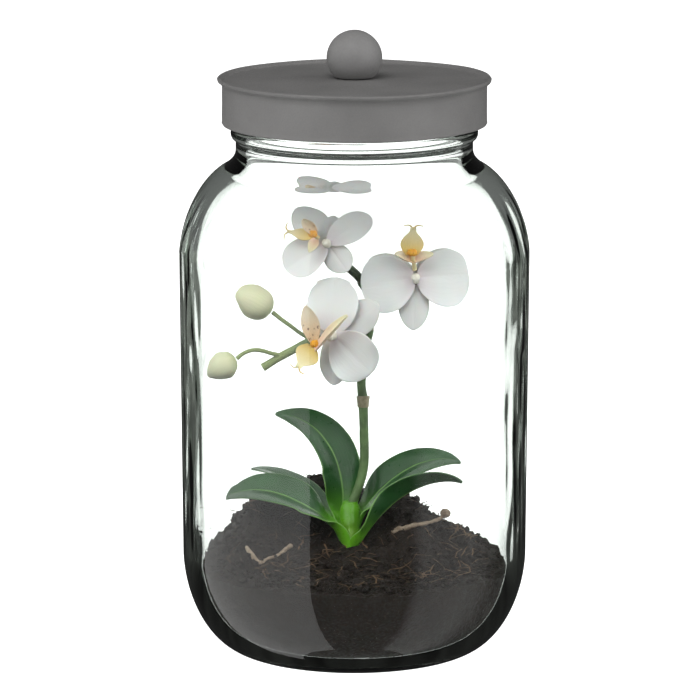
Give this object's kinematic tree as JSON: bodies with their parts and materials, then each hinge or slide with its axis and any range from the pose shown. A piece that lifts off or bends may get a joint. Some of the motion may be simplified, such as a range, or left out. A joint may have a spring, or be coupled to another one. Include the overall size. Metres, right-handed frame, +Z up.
{
  "type": "orchid in glass jar",
  "caption": "Miniature white moth orchid growing in a mound of peat inside a large clear glass jar with a grey metal cover and ball knob.",
  "frame": {"origin": "centre of the jar's base, on the surface that it stands on", "axes": "+Z up along the jar's axis, blooms facing -Y, +X to the viewer's right"},
  "size_m": [0.16, 0.16, 0.2867],
  "materials": {
    "clear_glass": "clear, faintly green, smooth and slightly wavy",
    "grey_paint": "matte grey paint on pressed steel",
    "knob_paint": "matte grey paint on a turned ball",
    "zinc_steel": "plain zinc plating",
    "peat": "dark damp peat with fibres",
    "sheath_green": "bright green, waxy",
    "leaf_green": "dark green, waxy, with a pale midrib",
    "stem_green": "dark green to brown, satin, with pale nodes",
    "bud_cream": "cream green, satin",
    "petal_white": "white with faint lilac shading and fine veins",
    "lip_yellow": "cream to yellow with brown spots",
    "pale_bark": "dry, rough, pale brown"
  },
  "bodies": {
    "root": {"jar": "clear_glass", "lid": "grey_paint", "lid_knob": "knob_paint", "knob_screw": "zinc_steel", "soil": "peat", "crown": "sheath_green", "leaf_1": "leaf_green", "leaf_2": "leaf_green", "leaf_3": "leaf_green", "leaf_4": "leaf_green", "leaf_5": "leaf_green", "flower_spike": "stem_green", "bud_upper": "bud_cream", "bud_lower": "bud_cream", "bloom_front": "petal_white", "bloom_right": "petal_white", "bloom_top": "petal_white", "lip_front": "lip_yellow", "lip_right": "lip_yellow", "lip_top": "lip_yellow", "bark_strip": "pale_bark", "dry_root": "pale_bark"}
  },
  "joints": []
}
